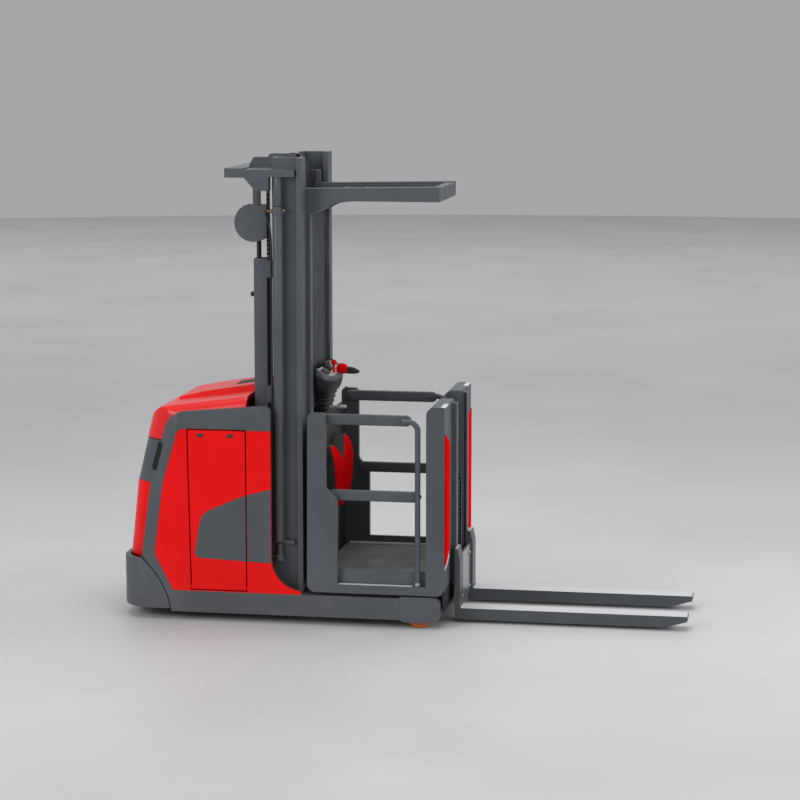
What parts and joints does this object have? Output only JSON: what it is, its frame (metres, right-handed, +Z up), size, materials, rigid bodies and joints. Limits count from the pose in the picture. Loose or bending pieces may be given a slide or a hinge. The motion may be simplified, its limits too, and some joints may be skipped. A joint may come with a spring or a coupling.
{
  "type": "order picker",
  "caption": "Electric order picker: hooded drive section, wide two-stage mast with side cylinders, lifting cabin with folding gates and overhead guard, and forks that lift on the cabin.",
  "frame": {"origin": "floor level below the middle of the machine's bounding box", "axes": "+X forward along the forks, +Y to the left side, +Z up"},
  "size_m": [3.113, 1, 2.532],
  "materials": {
    "graphite_paint": "satin dark grey paint",
    "red_paint": "gloss signal red paint",
    "red_moulding": "red moulded plastic",
    "black_moulding": "grained black plastic",
    "red_grip": "red moulded grip",
    "black_rubber": "ribbed black rubber",
    "battery_case": "black painted steel trough",
    "motor_casting": "cast housing",
    "drive_tyre": "solid tyre",
    "orange_polyurethane": "cast polyurethane",
    "bright_rod": "hard chromed rod",
    "oiled_steel": "oiled steel"
  },
  "bodies": {
    "chassis": {"chassis_beams": "graphite_paint", "chassis_tray": "graphite_paint", "drive_plate": "graphite_paint", "load_wheel_housings": "graphite_paint", "rear_bumper": "graphite_paint", "side_frames": "graphite_paint", "side_panels": "red_paint", "side_inlays": "graphite_paint", "rear_panel": "red_paint", "rear_band": "graphite_paint", "battery": "battery_case", "outer_mast": "graphite_paint", "mast_crossbars": "graphite_paint", "lift_cylinders": "graphite_paint", "hose_duct": "graphite_paint"},
    "hood": {"hood": "red_paint"},
    "battery_door_right": {"battery_door_right": "red_paint", "door_inlay_right": "graphite_paint"},
    "battery_door_left": {"battery_door_left": "red_paint", "door_inlay_left": "graphite_paint"},
    "drive_unit": {"drive_unit": "motor_casting"},
    "drive_wheel": {"drive_wheel": "drive_tyre"},
    "load_wheel_right": {"load_wheel_right": "orange_polyurethane"},
    "load_wheel_left": {"load_wheel_left": "orange_polyurethane"},
    "inner_mast": {"inner_mast": "graphite_paint", "mast_head": "graphite_paint", "piston_rods": "bright_rod", "chain_sheaves": "oiled_steel", "lift_chains": "oiled_steel", "hose_pulley": "graphite_paint", "hoses": "black_rubber"},
    "cabin": {"platform": "graphite_paint", "floor_mat": "black_rubber", "cabin_posts": "graphite_paint", "front_wall": "graphite_paint", "front_inserts": "red_paint", "rear_wall": "black_moulding", "knee_pads": "red_moulding", "cabin_carriage": "graphite_paint", "mast_screen": "graphite_paint", "overhead_guard": "graphite_paint", "console": "black_moulding", "console_controls": "red_grip", "fork_mast": "graphite_paint", "fork_cylinder": "graphite_paint"},
    "fork_rod": {"fork_rod": "bright_rod", "fork_chain": "oiled_steel"},
    "fork_carriage": {"fork_carriage_plate": "graphite_paint", "forks": "graphite_paint"},
    "gate_upper_bar_right": {"gate_upper_bar_right": "graphite_paint"},
    "gate_lower_bar_right": {"gate_lower_bar_right": "graphite_paint"},
    "gate_tube_right": {"gate_tube_right": "graphite_paint"},
    "gate_upper_bar_left": {"gate_upper_bar_left": "graphite_paint"},
    "gate_lower_bar_left": {"gate_lower_bar_left": "graphite_paint"},
    "gate_tube_left": {"gate_tube_left": "graphite_paint"}
  },
  "joints": [
    {"name": "mast_lift", "type": "slide", "parent": "chassis", "child": "inner_mast", "axis": [0, 0, 1], "range_m": [0, 1.7]},
    {"name": "cabin_lift", "type": "slide", "parent": "inner_mast", "child": "cabin", "axis": [0, 0, 1], "range_m": [0, 1.7]},
    {"name": "fork_lift", "type": "slide", "parent": "cabin", "child": "fork_carriage", "axis": [0, 0, 1], "range_m": [0, 0.78]},
    {"name": "fork_rod_lift", "type": "slide", "parent": "cabin", "child": "fork_rod", "axis": [0, 0, 1], "range_m": [0, 0.39]},
    {"name": "steering", "type": "hinge", "parent": "chassis", "child": "drive_unit", "pos_m": [-1.3155, 0, 0.3], "axis": [0, 0, 1], "range_deg": [-90, 90]},
    {"name": "drive_wheel_spin", "type": "hinge", "parent": "drive_unit", "child": "drive_wheel", "pos_m": [-1.3155, 0, 0.125], "axis": [0, 1, 0], "continuous": true},
    {"name": "hood_lid", "type": "hinge", "parent": "chassis", "child": "hood", "pos_m": [-0.8125, 0, 1.261], "axis": [0, 1, 0], "range_deg": [0, 55]},
    {"name": "load_wheel_right_spin", "type": "hinge", "parent": "chassis", "child": "load_wheel_right", "pos_m": [0.1185, -0.444, 0.08], "axis": [0, 1, 0], "continuous": true},
    {"name": "battery_door_right_hinge", "type": "hinge", "parent": "chassis", "child": "battery_door_right", "pos_m": [-0.8375, -0.492, 0.188], "axis": [1, 0, 0], "range_deg": [0, 85]},
    {"name": "gate_right_fold", "type": "hinge", "parent": "cabin", "child": "gate_upper_bar_right", "pos_m": [-0.4285, -0.447, 1.131], "axis": [0, -1, 0], "range_deg": [0, 80]},
    {"name": "gate_right_lower_bar", "type": "hinge", "parent": "cabin", "child": "gate_lower_bar_right", "pos_m": [-0.3585, -0.447, 0.716], "axis": [0, -1, 0], "range_deg": [0, 80]},
    {"name": "gate_right_tube", "type": "hinge", "parent": "gate_upper_bar_right", "child": "gate_tube_right", "pos_m": [0.0405, -0.485, 1.131], "axis": [0, -1, 0], "range_deg": [-80, 0]},
    {"name": "load_wheel_left_spin", "type": "hinge", "parent": "chassis", "child": "load_wheel_left", "pos_m": [0.1185, 0.444, 0.08], "axis": [0, 1, 0], "continuous": true},
    {"name": "battery_door_left_hinge", "type": "hinge", "parent": "chassis", "child": "battery_door_left", "pos_m": [-0.8375, 0.492, 0.188], "axis": [-1, 0, 0], "range_deg": [0, 85]},
    {"name": "gate_left_fold", "type": "hinge", "parent": "cabin", "child": "gate_upper_bar_left", "pos_m": [-0.4285, 0.447, 1.131], "axis": [0, -1, 0], "range_deg": [0, 80]},
    {"name": "gate_left_lower_bar", "type": "hinge", "parent": "cabin", "child": "gate_lower_bar_left", "pos_m": [-0.3585, 0.447, 0.716], "axis": [0, -1, 0], "range_deg": [0, 80]},
    {"name": "gate_left_tube", "type": "hinge", "parent": "gate_upper_bar_left", "child": "gate_tube_left", "pos_m": [0.0405, 0.485, 1.131], "axis": [0, -1, 0], "range_deg": [-80, 0]}
  ],
  "couplings": [
    {"joint": "cabin_lift", "follows": "mast_lift", "ratio": 1},
    {"joint": "fork_rod_lift", "follows": "fork_lift", "ratio": 0.5},
    {"joint": "gate_right_lower_bar", "follows": "gate_right_fold", "ratio": 1},
    {"joint": "gate_right_tube", "follows": "gate_right_fold", "ratio": -1},
    {"joint": "gate_left_lower_bar", "follows": "gate_left_fold", "ratio": 1},
    {"joint": "gate_left_tube", "follows": "gate_left_fold", "ratio": -1}
  ]
}
